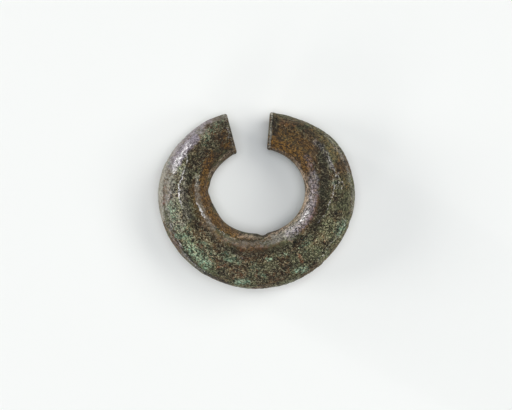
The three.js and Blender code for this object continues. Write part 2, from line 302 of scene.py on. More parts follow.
def hammeringTree():
    # how far rows of overlapping hammer blows, the fall beside the crest and the flakes sink a place
    tree, given, add = newTree("hammering", [
        *[(label, "Float", None) for label in ("Along", "Turn", "Across", "Height")],
        ("Blow Depth", "Float", sunken["blowDepth"] * mm),
        ("Blows Round Ring", "Float", sunken["blowsRoundRing"]),
        ("Blows Round Body", "Float", sunken["blowsRoundBody"]),
        ("Crest Depth", "Float", sunken["crestDepth"] * mm),
        ("Flake Depth", "Float", sunken["flakeDepth"] * mm),
    ], [("Sunk", "Float")])
    away = add("ShaderNodeMath", (given["Height"],), operation="ABSOLUTE")[0]
    down = add("ShaderNodeMath", (given["Height"], -1.0), operation="MULTIPLY")[0]
    # each fade with what it follows, where it begins and ends, and its values there
    fade = {}
    for label, source, reach, ends in (
        ("off edges", away, sunken["edgeFade"], (0.0, 1.0)),
        ("off rest", down, sunken["restFade"], (1.0, 0.0)),
        ("front", given["Height"], sunken["edgeFade"], (0.0, 1.0)),
        ("crest begins", given["Along"], sunken["crestBegins"], (0.0, 1.0)),
        ("crest ends", given["Along"], sunken["crestEnds"], (1.0, 0.0)),
        ("crest fades", given["Across"], sunken["crestFades"], (1.0, 0.0)),
    ):
        fade[label] = add("ShaderNodeMapRange", (source, *reach, *ends), interpolation_type="SMOOTHSTEP")[0]
    around = add("ShaderNodeMath", (given["Along"], 2 * math.pi), operation="MULTIPLY")[0]
    wave = add("ShaderNodeMath", (around, sunken["drifts"], given["Turn"]), operation="MULTIPLY_ADD")[0]
    wave = add("ShaderNodeMath", (wave,), operation="SINE")[0]
    drift = add("ShaderNodeMath", (wave, sunken["drift"]), operation="MULTIPLY")[0]
    waves = []
    for place, count in ((around, "Blows Round Ring"), (given["Turn"], "Blows Round Body")):
        angle = add("ShaderNodeMath", (place, given[count], drift), operation="MULTIPLY_ADD")[0]
        waves.append(add("ShaderNodeMath", (angle,), operation="COSINE")[0])
    crossed = add("ShaderNodeMath", waves, operation="MULTIPLY")[0]
    blows = add("ShaderNodeMath", (crossed, 0.5, 0.5), operation="MULTIPLY_ADD")[0]
    for factor in (fade["off edges"], fade["off rest"], given["Blow Depth"]):
        blows = add("ShaderNodeMath", (blows, factor), operation="MULTIPLY")[0]

    off = add("ShaderNodeMath", (given["Across"], sunken["crestAt"]), operation="SUBTRACT")[0]
    off = add("ShaderNodeMath", (off,), operation="ABSOLUTE")[0]
    sunk = add("ShaderNodeMapRange", (off, 0.0, sunken["crestReach"], 0.0, 1.0))[0]
    for factor in (fade["crest begins"], fade["crest ends"], fade["crest fades"], given["Crest Depth"]):
        sunk = add("ShaderNodeMath", (sunk, factor), operation="MULTIPLY")[0]
    for along, across, alongReach, acrossReach in sunken["flakes"]:
        parts = []
        for label, middle, reach in (("Along", along, alongReach), ("Across", across, acrossReach)):
            part = add("ShaderNodeMath", (given[label], middle), operation="SUBTRACT")[0]
            parts.append(add("ShaderNodeMath", (part, 1 / reach), operation="MULTIPLY")[0])
        off = add("ShaderNodeCombineXYZ", (*parts, 0.0))[0]
        distance = add("ShaderNodeVectorMath", (off,), operation="LENGTH")["Value"]
        flaked = add("ShaderNodeMapRange", (distance, sunken["flakeFloor"], 1.0, 1.0, 0.0),
                     interpolation_type="SMOOTHSTEP")[0]
        sunk = add("ShaderNodeMath", (flaked, given["Flake Depth"], sunk), operation="MULTIPLY_ADD")[0]
    sunk = add("ShaderNodeMath", (sunk, fade["front"], blows), operation="MULTIPLY_ADD")[0]
    add("NodeGroupOutput", (sunk,))
    return tree


# How the section is swept and closed
sweeping = {
    "mergeWithin": 0.0005,  # in millimetres
    "tangentStep": 0.02,  # to each side along the section, as a turn in radians
    "sharpFrom": 55,  # degrees between two faces
}


def sweepTree(outerLine, hammering):
    # sweeps a section's closed loop along the stations of the crescent
    tree, given, add = newTree("crescentSweep", [
        ("Geometry", "Geometry", None),
        ("Section", "Object", None),
        ("Material", "Material", None),
        ("Merge Within", "Float", sweeping["mergeWithin"] * mm),
    ], [("Geometry", "Geometry")])
    stations = given["Geometry"]
    section = add("GeometryNodeObjectInfo", (given["Section"],))["Geometry"]
    rows = add("GeometryNodeAttributeDomainSize", (stations,))["Point Count"]
    steps = add("GeometryNodeAttributeDomainSize", (section,))["Point Count"]
    shape = add("GeometryNodeMeshGrid", (1.0, 1.0, rows, steps))["Mesh"]
    index = add("GeometryNodeInputIndex")[0]
    row = add("FunctionNodeIntegerMath", (index, steps), operation="DIVIDE_FLOOR")[0]
    step = add("FunctionNodeIntegerMath", (index, steps), operation="MODULO")[0]
    value = {}
    for source, at, kind, names in (
        (stations, row, "FLOAT_VECTOR", ("bore", "rim")),
        (stations, row, "FLOAT", ("width", "depth", "groove", "along")),
        (stations, row, "FLOAT", ("turnFrom", "turnTo", "turnTuck", "under")),
        (section, step, "FLOAT", ("where", "sunk", "exposed")),
    ):
        for name in names:
            named = add("GeometryNodeInputNamedAttribute", {"Name": name}, data_type=kind)
            value[name] = add("GeometryNodeSampleIndex", {
                "Geometry": source, "Value": named["Attribute"], "Index": at,
            }, data_type=kind)["Value"]
    # a share below 0 runs back under the hem
    ahead = add("ShaderNodeMath", (value["turnTo"], value["turnFrom"]), operation="SUBTRACT")[0]
    behind = add("ShaderNodeMath", (value["turnFrom"], value["turnTuck"]), operation="SUBTRACT")[0]
    tucked = add("ShaderNodeMath", (value["where"], 0.0), operation="LESS_THAN")[0]
    span = add("ShaderNodeMix", {0: tucked, 2: ahead, 3: behind})[0]
    turn = add("ShaderNodeMath", (span, value["where"], value["turnFrom"]), operation="MULTIPLY_ADD")[0]
    places = []
    for offset in (0.0, sweeping["tangentStep"], -sweeping["tangentStep"]):
        moved = add("ShaderNodeMath", (turn, offset), operation="ADD")[0]
        places.append(add("GeometryNodeGroup", {
            "Turn": moved, "Width": value["width"], "Depth": value["depth"], "Groove": value["groove"],
        }, node_tree=outerLine))
    run = add("ShaderNodeVectorMath", (places[1][0], places[2][0]), operation="SUBTRACT")[0]
    unit = add("ShaderNodeVectorMath", (run,), operation="NORMALIZE")[0]
    inward = add("ShaderNodeVectorMath", (unit, (0.0, 0.0, -1.0)), operation="CROSS_PRODUCT")[0]
    hammered = add("GeometryNodeGroup", {
        "Along": value["along"], "Turn": turn, "Across": places[0]["Share"], "Height": places[0]["Height"],
    }, node_tree=hammering)[0]
    deep = value["sunk"]
    for more in (value["under"], hammered):
        deep = add("ShaderNodeMath", (deep, more), operation="ADD")[0]
    shift = add("ShaderNodeVectorMath", {0: inward, "Scale": deep}, operation="SCALE")[0]
    inside = add("ShaderNodeVectorMath", (places[0][0], shift), operation="ADD")[0]
    parts = add("ShaderNodeSeparateXYZ", (inside,))
    share = add("ShaderNodeMath", (parts[0], value["width"]), operation="DIVIDE")[0]
    reach = add("ShaderNodeVectorMath", (value["rim"], value["bore"]), operation="SUBTRACT")[0]
    plan = add("ShaderNodeVectorMath", {0: reach, "Scale": share}, operation="SCALE")[0]
    flat = add("ShaderNodeVectorMath", (value["bore"], plan), operation="ADD")[0]
    lift = add("ShaderNodeCombineXYZ", (0.0, 0.0, parts[1]))[0]
    place = add("ShaderNodeVectorMath", (flat, lift), operation="ADD")[0]
    kept = {
        "along": value["along"],
        "across": places[0]["Share"],
        "height": places[0]["Height"],
        "exposed": value["exposed"],
        "under": value["under"],
    }
    for name, field in kept.items():
        shape = add("GeometryNodeStoreNamedAttribute", {
            "Geometry": shape, "Name": name, "Value": field,
        }, data_type="FLOAT", domain="POINT")[0]
    shape = add("GeometryNodeSetPosition", {"Geometry": shape, "Position": place})[0]
    shape = add("GeometryNodeMergeByDistance", {"Geometry": shape, "Distance": given["Merge Within"]})[0]
    finishTree(add, shape, given["Material"])
    return tree


# What decay ate away, with its sizes in millimetres. A row of noises holds the size of the marks, their
# detail, how rough and curled they are, and between which values of the noise they rise.
decay = {
    "seed": 4,
    "seedStep": (0.017, 0.011, 0.013),  # in metres, how far one step of the seed moves the noises
    "depths": {
        "Unevenness": 0.03, "Lumps": 0.06, "Flakes": 0.05, "Crust": 0.08, "Cracks": 0.07, "Pits": 0.09,
    },
    "noises": {
        "Lumps": (1.3, 2.0, 0.5, 0.0, 0.35, 0.65),
        "Flakes": (2.1, 4.0, 0.5, 0.0, 0.47, 0.53),
        "Crust": (0.55, 3.0, 0.65, 0.6, 0.35, 0.65),
    },
    "scales": (0.95, 2.0, 0.55, 0.8),
    "crackReach": 0.03,  # to each side of a scale's border, as a part of the noise
    "pitsApart": 1.1,
    "pitEdge": (0.1, 0.3),  # from a pit's floor to its rim, as parts of pitsApart
    "pitsLeftOut": 0.62,
    "broad": (3.4, 0.3, 0.7),  # the size of the unevenness, and between which values of its noise it rises
    "polishedDepth": 0.12,  # what is left of the depths where the metal is polished
    "fullRelief": 0.25,
}


def corrosionTree():
    # eats into the exposed surface along its normals, never out of it, and keeps how deep as "relief"
    tree, given, add = newTree("corrosion", [
        ("Geometry", "Geometry", None),
        ("Material", "Material", None),
        ("Seed", "Int", decay["seed"]),
        *[(label, "Float", depth * mm) for label, depth in decay["depths"].items()],
    ], [("Geometry", "Geometry")])
    start = add("GeometryNodeInputPosition")[0]
    away = add("ShaderNodeVectorMath", {0: decay["seedStep"], "Scale": given["Seed"]}, operation="SCALE")[0]
    place = add("ShaderNodeVectorMath", (start, away), operation="ADD")[0]
    painted = {
        name: add("GeometryNodeInputNamedAttribute", {"Name": name}, data_type="FLOAT")["Attribute"]
        for name in ("exposed", "polished")
    }
    rough = add("ShaderNodeMapRange", (painted["polished"], 0.0, 1.0, 1.0, decay["polishedDepth"]))[0]
    # broad lumps, flaked layers, and a crust that has grown in scales of uneven height
    eaten = 0.0
    for label, (*row, low, high) in decay["noises"].items():
        marks = add("ShaderNodeTexNoise", marked(place, *row))[0]
        part = add("ShaderNodeMapRange", (marks, low, high, 1.0, 0.0))[0]
        eaten = add("ShaderNodeMath", (part, given[label], eaten), operation="MULTIPLY_ADD")[0]
    # wandering cracks between the scales
    scales = add("ShaderNodeTexNoise", marked(place, *decay["scales"]))[0]
    border = add("ShaderNodeMath", (scales, 0.5), operation="SUBTRACT")[0]
    border = add("ShaderNodeMath", (border,), operation="ABSOLUTE")[0]
    crack = add("ShaderNodeMapRange", (border, 0.0, decay["crackReach"], 1.0, 0.0),
                interpolation_type="SMOOTHSTEP")[0]
    eaten = add("ShaderNodeMath", (crack, given["Cracks"], eaten), operation="MULTIPLY_ADD")[0]
    # round pits, some of the cells left without one
    cells = add("ShaderNodeTexVoronoi", {"Vector": place, "Scale": 1 / (decay["pitsApart"] * mm)})
    pit = add("ShaderNodeMapRange", (cells["Distance"], *decay["pitEdge"], 1.0, 0.0),
              interpolation_type="SMOOTHSTEP")[0]
    drawn = add("ShaderNodeSeparateXYZ", (cells["Color"],))[0]
    chosen = add("ShaderNodeMath", (drawn, decay["pitsLeftOut"]), operation="GREATER_THAN")[0]
    pitted = add("ShaderNodeMath", (pit, chosen), operation="MULTIPLY")[0]
    eaten = add("ShaderNodeMath", (pitted, given["Pits"], eaten), operation="MULTIPLY_ADD")[0]
    # a broad unevenness, also where the metal is polished
    size, low, high = decay["broad"]
    broad = add("ShaderNodeTexNoise", marked(place, size, 0.0))[0]
    uneven = add("ShaderNodeMapRange", (broad, low, high, 1.0, 0.0))[0]
    uneven = add("ShaderNodeMath", (uneven, given["Unevenness"]), operation="MULTIPLY")[0]
    deep = add("ShaderNodeMath", (eaten, rough, uneven), operation="MULTIPLY_ADD")[0]
    for factor in (painted["exposed"], -1.0):
        deep = add("ShaderNodeMath", (deep, factor), operation="MULTIPLY")[0]
    normal = add("GeometryNodeInputNormal")[0]
    shift = add("ShaderNodeVectorMath", {0: normal, "Scale": deep}, operation="SCALE")[0]
    relief = eaten
    for factor in (rough, 1 / (decay["fullRelief"] * mm)):
        relief = add("ShaderNodeMath", (relief, factor), operation="MULTIPLY")[0]
    shape = add("GeometryNodeStoreNamedAttribute", {
        "Geometry": given["Geometry"], "Name": "relief", "Value": relief,
    }, data_type="FLOAT", domain="POINT")[0]
    shape = add("GeometryNodeSetPosition", {"Geometry": shape, "Offset": shift})[0]
    finishTree(add, shape, given["Material"])
    return tree


def applied(holder, tree, inputs, name):
    # runs a tree on an object and gives back the result as a plain mesh of its own
    modifier = holder.modifiers.new("made", "NODES")
    modifier.node_group = tree
    sockets = {item.name: item.identifier for item in tree.interface.items_tree if item.in_out == "INPUT"}
    for label, value in inputs.items():
        modifier[sockets[label]] = value
    bpy.context.view_layer.update()
    evaluated = holder.evaluated_get(bpy.context.evaluated_depsgraph_get())
    mesh = bpy.data.meshes.new_from_object(evaluated)
    mesh.name = name
    holder.modifiers.remove(modifier)
    bpy.data.objects.remove(holder)
    return mesh


def capped(mesh):
    # closes the sweep's two open ends and turns every face outwards
    bm = bmesh.new()
    bm.from_mesh(mesh)
    bmesh.ops.holes_fill(bm, edges=[edge for edge in bm.edges if edge.is_boundary])
    bmesh.ops.recalc_face_normals(bm, faces=bm.faces)
    bm.to_mesh(mesh)
    bm.free()


def values(mesh, name):
    found = np.empty(len(mesh.vertices), np.float32)
    mesh.attributes[name].data.foreach_get("value", found)
    return found


def paint(mesh, name, given):
    if name not in mesh.attributes:
        mesh.attributes.new(name, "FLOAT", "POINT")
    mesh.attributes[name].data.foreach_set("value", np.asarray(given, np.float32))


# Marks on the front as the camera sees them, in millimetres from the box's middle: a stroke's points,
# half its width and its strength
strokes = {
    "verdigris": [
        ([(-12.3, -0.6), (-11.8, -2.6)], 0.8, 0.75),
        ([(-11.6, -3.9), (-9.6, -4.5)], 0.7, 0.75),
        ([(-11.4, -5.3), (-9.4, -5.2)], 0.6, 0.95),
        ([(-10.0, -6.6), (-8.6, -7.9), (-7.2, -9.3)], 1.1, 0.95),
        ([(-9.25, -7.9)], 0.28, 2.0),
        ([(-8.2, -6.0), (-6.2, -7.6), (-4.4, -7.9), (-2.6, -8.7)], 0.7, 0.75),
        ([(-4.3, -8.4), (-3.3, -8.5)], 0.45, 1.0),
        ([(-2.8, -11.8), (-1.2, -11.9)], 0.45, 1.1),
        ([(12.5, -3.3), (12.1, -4.7)], 0.85, 0.98),
        ([(6.0, -10.2), (7.2, -10.0)], 0.5, 1.3),
        ([(1.5, -8.4), (2.1, -8.5)], 0.3, 1.1),
        ([(3.4, -7.6), (4.6, -7.9)], 0.4, 0.85),
        ([(6.5, -6.7), (7.6, -5.2)], 0.6, 0.65),
        ([(-0.4, -9.2), (0.9, -11.0)], 0.7, 0.65),
        ([(-5.0, -10.4), (0.0, -10.6), (5.0, -9.6), (9.5, -6.8)], 1.6, 0.4),
        ([(-5.2, 11.3), (-6.7, 10.2), (-7.7, 8.5)], 0.75, 0.68),
        ([(-8.1, 5.5)], 0.6, 0.6),
        ([(-12.7, 5.5)], 0.5, 0.75),
        ([(-10.8, 4.8), (-11.6, 2.2)], 0.9, 0.5),
        ([(11.4, 2.6)], 0.5, 0.8),
        ([(7.1, 10.3)], 0.7, 0.5),
    ],
    # greyFilm: a grey waxy film, laid on thicker and more lavender where it is painted sheen, the glossy
    # highlights on the upper-left flank and the lower-right roll
    "greyFilm": [
        ([(-7.5, 11.8), (-9.5, 9.6), (-11.2, 7.4), (-12.2, 5.2)], 1.1, 0.9),
        ([(-12.2, 5.2), (-13.0, 2.4), (-13.1, -0.6), (-12.9, -3.2)], 1.1, 0.55),
        ([(-12.9, -3.2), (-11.7, -6.4), (-9.5, -9.4), (-7.2, -11.3)], 0.6, 0.65),
        ([(-9.0, 9.2), (-10.6, 7.4), (-11.6, 5.6)], 0.85, 1.22),
        ([(8.3, 3.4), (8.3, 0.8), (7.7, -1.6), (6.5, -3.4), (4.8, -4.9)], 1.1, 0.8),
        ([(7.4, 6.2), (8.1, 4.8), (8.3, 3.4)], 0.8, 0.68),
        ([(4.5, -4.7), (2.6, -5.8), (0.6, -6.3)], 0.8, 0.5),
        ([(0.6, -6.3), (-2.2, -6.3), (-4.4, -5.5), (-6.2, -4.2)], 0.7, 0.38),
        ([(8.5, 8.6), (9.6, 7.5), (10.3, 6.2), (10.9, 4.8)], 0.6, 0.75),
    ],
    "goldBrown": [
        ([(2.4, 8.1), (4.3, 7.7), (6.0, 6.6), (7.4, 5.3)], 1.3, 1.0),
        ([(3.2, 10.2), (5.2, 9.7), (7.2, 8.2)], 1.4, 0.75),
        ([(8.4, 10.4), (10.6, 8.2), (12.3, 5.2), (13.0, 2.0)], 0.9, 0.5),
        ([(-6.8, 6.6), (-7.5, 4.2), (-7.7, 1.6), (-7.3, -0.7), (-6.2, -2.6), (-4.7, -4.0), (-3.0, -4.9)],
         0.8, 0.8),
        ([(-4.9, 10.0), (-4.2, 8.8), (-4.4, 7.9)], 0.7, 0.75),
        ([(-8.9, 1.4), (-8.5, -1.4), (-7.2, -3.8), (-5.2, -5.7), (-2.5, -6.6), (1.2, -6.9)], 0.8, 0.6),
    ],
    # rubbed: a cream strip worn along the bore's edge, painted lighter where the steep wall there turns from
    # the light
    "rubbed": [
        ([(-5.2, -3.8), (-4.0, -4.5), (-2.4, -5.0)], 0.5, 0.72),
        ([(-2.4, -5.0), (0.0, -5.3), (2.2, -4.85), (4.5, -3.6), (6.0, -2.1)], 0.55, 0.95),
        ([(2.3, 7.6), (4.3, 6.9), (5.9, 5.4)], 0.26, 0.85),
        ([(5.9, 5.4), (6.8, 3.7), (7.2, 2.0), (7.2, 0.2), (6.6, -1.6)], 0.42, 1.1),
        ([(-3.2, 7.6), (-4.6, 6.5), (-5.9, 5.2), (-6.8, 3.6)], 0.35, 0.9),
        ([(-7.3, 3.4), (-7.2, 0.6), (-6.6, -1.8), (-5.0, -3.9)], 0.6, 0.62),
    ],
    "cuprite": [
        ([(-8.4, -6.4), (-7.3, -7.0)], 0.34, 1.3),
        ([(-6.7, -8.6), (-6.6, -9.2)], 0.3, 1.3),
        ([(-5.6, -9.8), (-4.5, -9.3)], 0.36, 1.3),
        ([(-2.4, -10.6), (-1.8, -10.8)], 0.3, 1.1),
        ([(0.1, -9.9), (0.0, -10.9)], 0.36, 1.2),
        ([(6.2, -8.0), (6.6, -8.9)], 0.45, 1.3),
        ([(3.2, -9.9), (4.6, -9.6)], 0.4, 0.95),
        ([(0.3, -7.9), (1.0, -8.0)], 0.3, 1.0),
        ([(5.9, -5.5), (6.4, -5.4)], 0.4, 0.9),
        ([(9.6, -5.2), (10.2, -5.6), (9.5, -6.2)], 0.45, 0.95),
        ([(3.5, -9.4), (4.3, -9.3)], 0.32, 0.9),
        ([(-13.4, 2.4), (-13.4, -0.6)], 0.34, 1.0),
        ([(-7.1, 4.5), (-7.2, 3.4)], 0.3, 0.8),
        ([(10.4, 3.3)], 0.5, 0.8),
        ([(3.8, 11.2), (5.4, 10.6)], 0.8, 0.9),
        ([(5.0, 8.0), (6.6, 6.8)], 0.4, 0.7),
        ([(3.0, -6.9), (0.4, -7.0), (-2.6, -6.8), (-4.6, -5.9)], 0.6, 0.86),
        ([(-4.0, -10.0), (1.0, -10.0), (5.5, -8.8), (9.0, -6.4), (11.4, -3.2)], 1.3, 0.82),
        ([(-3.5, -7.6), (1.5, -8.0), (5.0, -7.0), (7.8, -4.8)], 0.6, 0.84),
        ([(8.9, 0.6), (8.6, -1.5), (7.6, -3.6), (6.3, -5.3), (4.6, -6.3), (3.0, -6.8)], 0.6, 0.88),
    ],
    # soot: dark dirt, and painted shade along the valleys, at the bore's edge and its notch and beside the
    # terminals
    "soot": [
        ([(9.2, 8.2), (9.8, 6.4), (9.8, 5.0), (9.9, 3.1), (9.8, 1.2), (9.5, -0.5)], 0.8, 0.9),
        ([(9.7, -0.5), (9.2, -2.2), (8.3, -3.7), (7.2, -5.0), (5.8, -6.2), (3.9, -7.1), (1.7, -7.5)],
         0.5, 0.8),
        ([(1.7, -7.3), (-0.1, -7.8), (-2.0, -7.8), (-3.9, -7.3)], 0.5, 0.8),
        ([(-9.1, 6.2), (-9.5, 4.3), (-9.8, 2.5), (-10.3, 0.8), (-10.2, -0.6), (-9.9, -1.6), (-9.2, -2.6),
          (-8.2, -3.7), (-6.6, -5.2), (-5.4, -6.5), (-3.9, -7.3)], 0.36, 0.95),
        ([(12.3, -3.4), (11.6, -4.7), (10.5, -6.3), (9.3, -7.8), (8.2, -9.2), (7.0, -10.4)], 0.2, 1.1),
        ([(-11.4, -5.4), (-10.3, -7.6), (-9.0, -9.3), (-7.4, -10.7), (-5.8, -11.5), (-4.2, -12.1)], 0.2, 1.2),
        ([(2.75, 11.9), (2.8, 10.9), (2.7, 9.9)], 0.5, 1.15),
        ([(2.3, 12.1), (2.2, 10.2)], 0.2, 0.9),
        ([(2.6, 10.0), (5.5, 9.7), (8.4, 8.6)], 1.6, 0.45),
        ([(-5.0, 10.2), (-4.6, 8.0), (-7.0, 7.0)], 1.6, 0.55),
        ([(-3.0, -9.6), (2.0, -9.8), (6.5, -8.0)], 1.6, 0.35),
        ([(2.2, 9.6), (2.1, 8.2)], 0.25, 0.7),
        ([(-4.4, 11.3)], 0.3, 1.3),
        ([(-3.85, 10.7), (-3.4, 9.6), (-3.1, 8.3)], 0.16, 1.0),
        ([(2.2, 7.0), (3.8, 6.45), (5.1, 5.6), (5.9, 4.8), (6.5, 3.8), (6.9, 2.7), (7.1, 1.6)], 0.13, 1.2),
        ([(-0.4, -4.95), (0.4, -5.1), (0.95, -5.25), (1.5, -4.95), (2.3, -4.6), (3.2, -4.15)], 0.17, 1.5),
        ([(11.3, 2.7), (11.8, 2.4)], 0.4, 0.8),
        ([(-9.95, 6.9), (-9.9, 5.8), (-10.2, 4.3), (-10.4, 3.0)], 0.16, 1.0),
        ([(4.3, 11.6), (6.3, 11.2), (8.0, 10.2)], 0.2, 0.6),
    ],
    # pale: painted highlights and glints along the crests, the arris, the rolls and the upper-left flank,
    # with some pale chips and outlines
    "pale": [
        ([(-9.9, 8.2), (-10.8, 7.0), (-11.4, 6.1), (-11.8, 5.2), (-12.0, 4.2)], 0.65, 0.92),
        ([(-10.6, 7.2), (-11.3, 6.2), (-11.6, 5.4)], 0.2, 1.2),
        ([(-10.7, 7.2), (-10.0, 6.5), (-10.2, 5.1), (-10.4, 3.9)], 0.13, 1.0),
        ([(-11.5, 6.0), (-11.9, 5.0), (-12.05, 3.9)], 0.13, 1.0),
        ([(1.95, 12.4), (1.85, 10.6), (1.7, 9.0), (1.6, 7.9)], 0.12, 0.75),
        ([(-10.4, 4.2), (-10.9, 3.0), (-11.2, 2.1), (-11.2, 1.0), (-11.0, -0.4), (-10.7, -1.0)], 0.17, 1.16),
        ([(-8.2, 4.2), (-8.4, 3.1), (-8.8, 2.1), (-8.85, 1.0), (-8.7, -0.2), (-8.3, -1.1), (-7.6, -2.1),
          (-7.0, -2.9), (-5.7, -4.2), (-4.6, -4.9)], 0.3, 0.76),
        ([(-8.7, -0.3), (-8.35, -0.9), (-8.0, -1.65), (-7.5, -2.4)], 0.16, 1.12),
        ([(9.0, 8.2), (9.9, 7.4), (10.4, 6.4)], 0.16, 0.75),
        ([(10.4, 6.4), (10.8, 5.5), (11.3, 4.6), (11.4, 3.8), (11.9, 3.9)], 0.17, 0.9),
        ([(11.2, 2.4), (11.1, 1.5), (10.9, 0.4), (10.6, -0.3)], 0.13, 0.95),
        ([(10.6, -0.3), (10.2, -1.2), (9.5, -2.4), (8.7, -3.4)], 0.14, 0.84),
        ([(11.0, 2.4), (11.15, 3.2), (11.5, 3.6), (12.1, 3.3), (12.5, 2.7), (12.7, 2.0)], 0.14, 0.85),
        ([(11.2, 1.7), (11.7, 1.9), (11.95, 2.6), (11.6, 3.3)], 0.13, 0.8),
        ([(12.7, 2.0), (12.2, 1.6), (11.9, 2.1), (12.2, 2.7)], 0.12, 0.78),
        ([(7.6, -0.7), (7.0, -1.9), (6.4, -2.7), (5.7, -3.4), (4.5, -4.4)], 0.4, 0.8),
        ([(7.5, -1.4), (6.9, -2.4), (6.2, -3.2)], 0.2, 1.1),
        ([(-4.3, 10.6), (-4.1, 9.9), (-4.2, 9.2), (-3.8, 9.1)], 0.15, 0.95),
        ([(-11.6, -5.8), (-10.6, -7.4), (-9.4, -9.0), (-8.1, -10.1), (-6.6, -10.9)], 0.14, 0.85),
        ([(-7.3, -7.4), (-6.8, -8.1), (-6.9, -8.7), (-6.3, -9.1)], 0.13, 0.75),
        ([(-4.3, -7.6), (-3.5, -7.5), (-2.6, -8.0), (-1.8, -8.5)], 0.13, 0.78),
        ([(13.0, -3.1), (12.2, -4.9), (11.1, -6.1), (10.0, -7.6), (9.0, -8.9)], 0.14, 0.85),
        ([(-5.9, -8.0), (-4.5, -9.4)], 0.1, 0.7),
    ],
    # dusting: a pale dusty film, and painted light that brightens the left flank, the left rim and the
    # lower-right roll
    "dusting": [
        ([(-8.0, 10.8), (-10.4, 8.5), (-11.9, 6.2), (-12.7, 3.6), (-12.7, 0.6), (-12.1, -1.6), (-11.2, -3.6)],
         1.4, 0.9),
        ([(-10.6, 4.5), (-10.7, 2.4), (-10.6, 0.3), (-10.0, -2.4)], 0.9, 0.9),
        ([(-8.7, 3.4), (-8.6, 1.4), (-8.2, -0.5), (-7.4, -2.4), (-6.2, -4.0)], 0.6, 0.8),
        ([(-7.8, -3.4), (-6.2, -5.0), (-4.4, -6.1)], 0.7, 0.62),
        ([(8.0, 1.0), (7.4, -1.2)], 0.8, 0.76),
        ([(7.0, -2.0), (6.1, -3.2), (4.7, -4.4), (2.6, -5.6)], 0.8, 1.02),
        ([(-11.0, 9.4), (-12.9, 6.6), (-14.0, 3.2), (-14.3, 0.4)], 0.75, 1.36),
        ([(-14.3, 0.4), (-14.0, -2.6)], 0.75, 1.12),
        ([(2.6, -5.8), (0.0, -6.4), (-2.4, -6.3), (-4.6, -5.4)], 0.8, 0.72),
        ([(9.4, 8.0), (10.2, 6.6), (10.8, 5.0)], 0.6, 0.8),
        ([(-8.0, 10.9), (-6.3, 11.7), (-4.5, 12.4)], 0.7, 0.85),
        ([(2.26, 12.7), (2.1, 10.4), (1.9, 7.9)], 0.16, 1.7),
        ([(-4.6, 12.5), (-4.1, 10.6), (-3.4, 8.0)], 0.13, 1.0),
        ([(-7.5, 3.0), (-7.6, 0.4), (-6.6, -2.2)], 0.6, 0.5),
        ([(-7.0, -11.2), (-4.0, -12.5), (-1.0, -13.1), (3.6, -12.8), (7.6, -11.0)], 0.4, 0.7),
        ([(10.2, 9.6), (12.2, 7.2), (13.4, 4.4), (14.1, 1.2), (14.0, -2.0)], 0.4, 0.76),
    ],
    # grime: dims the colour; along the valleys, on the terminals and on the right outer band, turned from the
    # light, it is painted shade
    "grime": [
        ([(2.6, 10.8), (5.0, 10.0), (7.6, 8.4)], 2.0, 0.8),
        ([(2.6, 8.2), (5.0, 7.4), (7.3, 5.4)], 1.6, 0.9),
        ([(9.0, 7.0), (9.8, 5.0), (10.0, 3.0), (9.8, 0.4), (9.0, -2.6), (7.2, -5.1)], 0.8, 1.0),
        ([(7.2, -5.1), (4.9, -6.8), (1.5, -7.4), (-1.5, -7.7), (-4.0, -7.0)], 0.8, 0.9),
        ([(-5.0, -9.6), (-1.0, -10.5), (3.0, -10.2), (7.0, -8.4)], 1.6, 0.72),
        ([(12.2, 4.6), (12.3, 0.6), (12.1, -1.4)], 1.4, 0.6),
        ([(-4.2, 10.4), (-5.4, 8.2), (-7.6, 6.4)], 1.9, 1.15),
        ([(-9.4, 6.6), (-9.8, 3.0), (-9.9, -0.6), (-8.6, -3.4)], 0.5, 0.6),
    ],
    "calm": [
        ([(-8.7, 1.0), (-8.4, -1.4), (-7.4, -3.6), (-5.7, -5.5), (-3.6, -6.7), (0.0, -7.0), (3.2, -6.5)],
         1.1, 1.4),
        ([(-5.2, 11.7), (-8.0, 10.4), (-10.4, 8.4), (-12.3, 5.6), (-13.5, 2.0), (-13.6, -1.4)], 0.75, 1.2),
        ([(-5.2, 12.6), (-8.0, 11.6), (-11.0, 9.4), (-13.2, 6.0), (-14.4, 2.0), (-14.2, -3.0)], 0.5, 1.5),
        ([(-9.2, 8.4), (-10.0, 6.4), (-10.3, 4.2), (-10.1, 1.6)], 0.8, 0.6),
        ([(9.0, 7.2), (9.8, 4.6), (9.8, 1.6), (9.3, -1.0), (8.2, -3.6)], 0.8, 0.8),
        ([(3.2, 10.8), (6.2, 9.6), (8.2, 7.8)], 1.3, 0.5),
        ([(-7.5, 3.2), (-7.3, 0.4), (-6.5, -2.2), (-4.8, -4.3)], 0.5, 0.7),
        ([(-5.0, 10.0), (-4.4, 8.4)], 0.8, 0.6),
    ],
    "polished": [
        ([(8.0, 3.4), (8.0, 0.8), (7.3, -1.5), (6.2, -3.2), (4.5, -4.7), (2.6, -5.7)], 1.0, 1.0),
        ([(2.4, 8.6), (4.6, 8.0), (6.4, 6.8)], 1.9, 0.55),
        ([(-7.5, 11.6), (-9.5, 9.4), (-11.4, 7.2), (-12.7, 4.8), (-13.3, 2.2), (-13.2, -0.8)], 0.9, 0.85),
        ([(-12.9, -3.2), (-11.7, -6.4), (-9.5, -9.4), (-7.2, -11.3)], 0.6, 0.6),
        ([(4.0, 12.0), (7.4, 11.0), (9.6, 9.4), (11.6, 7.2), (13.0, 4.4), (13.8, 1.2), (13.7, -1.6)],
         0.8, 0.9),
    ],
}

# Marks where the camera doesn't see: the size of their patches in millimetres, from how high a noise they
# begin and their strength
patches = {
    "verdigris": (3.0, 0.08, 0.75),
    "greyFilm": (4.2, 0.0, 0.7),
    "goldBrown": (5.0, 0.05, 0.7),
    "rubbed": (3.4, 0.2, 0.6),
    "cuprite": (1.6, 0.25, 0.9),
    "soot": (2.4, 0.12, 0.6),
    "dusting": (5.4, -0.05, 0.5),
}

